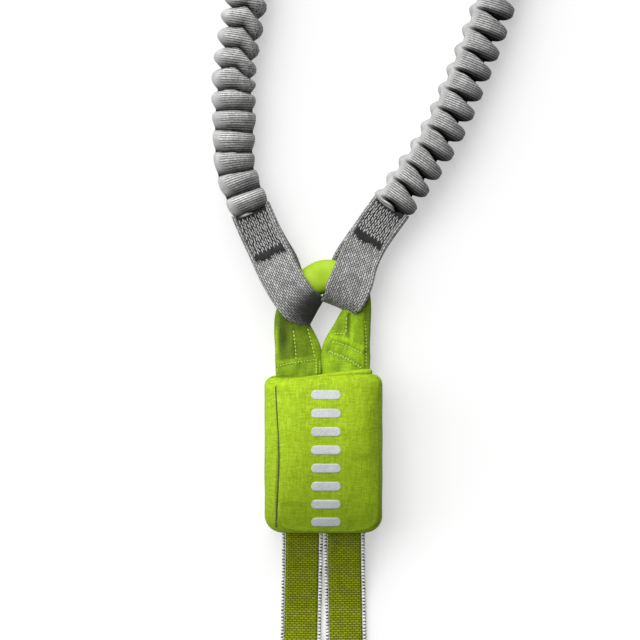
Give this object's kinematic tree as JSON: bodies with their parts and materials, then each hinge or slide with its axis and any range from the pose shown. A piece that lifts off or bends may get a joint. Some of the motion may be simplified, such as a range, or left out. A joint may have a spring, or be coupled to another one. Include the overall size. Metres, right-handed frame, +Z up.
{
  "type": "via ferrata lanyard",
  "caption": "Via ferrata lanyard: lime pouch with folded tear webbing, flat harness loop, gathered grey elastic arms and palm-lever connectors.",
  "frame": {"origin": "middle of the pouch's flat back, on the surface that the lanyard lies on", "axes": "+Y from the pouch along the arms towards the connectors, +Z up out of the pouch's front, +X to the right as the lanyard lies"},
  "size_m": [0.219, 0.8708, 0.038],
  "materials": {
    "lime_cloth": "matte woven polyester",
    "lime_guard": "smooth coated sleeve",
    "olive_webbing": "matte ribbed webbing",
    "grey_webbing": "matte tubular webbing",
    "tear_webbing": "matte webbing",
    "elastic": "braided elastic",
    "white_thread": "sewn thread",
    "black_rubber": "matte",
    "anodised_grey": "satin anodised",
    "lime_anodised": "satin anodised",
    "bright_aluminium": "satin",
    "steel": "brushed"
  },
  "bodies": {
    "lanyard": {"pouch_shell": "lime_cloth", "pouch_front": "lime_cloth", "tear_webbing_pack": "tear_webbing", "lower_pack_band": "black_rubber", "upper_pack_band": "black_rubber", "load_loop_cover_left": "lime_cloth", "load_loop_apex_guard": "lime_guard", "load_loop_cover_right": "lime_cloth", "load_loop_webbing": "tear_webbing", "load_loop_bartack": "white_thread", "tie_in_loop": "olive_webbing", "tie_in_bartack": "white_thread", "arm_left_lower_loop": "grey_webbing", "arm_left_sleeve": "grey_webbing", "arm_left_core": "elastic", "arm_left_upper_loop": "grey_webbing", "keeper_left": "black_rubber", "connector_left_frame": "anodised_grey", "connector_left_rivet": "steel", "connector_left_lever_pin": "steel", "arm_right_lower_loop": "grey_webbing", "arm_right_sleeve": "grey_webbing", "arm_right_core": "elastic", "arm_right_upper_loop": "grey_webbing", "keeper_right": "black_rubber", "connector_right_frame": "anodised_grey", "connector_right_rivet": "steel", "connector_right_lever_pin": "steel"},
    "left_gate": {"connector_left_gate": "bright_aluminium"},
    "left_lever": {"connector_left_lever": "lime_anodised"},
    "right_gate": {"connector_right_gate": "bright_aluminium"},
    "right_lever": {"connector_right_lever": "lime_anodised"}
  },
  "joints": [
    {"name": "left_gate_hinge", "type": "hinge", "parent": "lanyard", "child": "left_gate", "pos_m": [-0.0294, 0.593, 0.0055], "axis": [0, 0, 1], "range_deg": [0, 26], "stiffness_Nm_per_rad": 0.15, "springref_deg": -20.05},
    {"name": "left_lever_hinge", "type": "hinge", "parent": "lanyard", "child": "left_lever", "pos_m": [-0.0704, 0.591, 0.0055], "axis": [0, 0, 1], "range_deg": [-7, 0]},
    {"name": "right_gate_hinge", "type": "hinge", "parent": "lanyard", "child": "right_gate", "pos_m": [0.1076, 0.581, 0.0055], "axis": [0, 0, 1], "range_deg": [0, 26], "stiffness_Nm_per_rad": 0.15, "springref_deg": -20.05},
    {"name": "right_lever_hinge", "type": "hinge", "parent": "lanyard", "child": "right_lever", "pos_m": [0.0666, 0.579, 0.0055], "axis": [0, 0, 1], "range_deg": [-7, 0]}
  ],
  "couplings": [
    {"joint": "left_lever_hinge", "follows": "left_gate_hinge", "ratio": -0.2692},
    {"joint": "right_lever_hinge", "follows": "right_gate_hinge", "ratio": -0.2692}
  ]
}
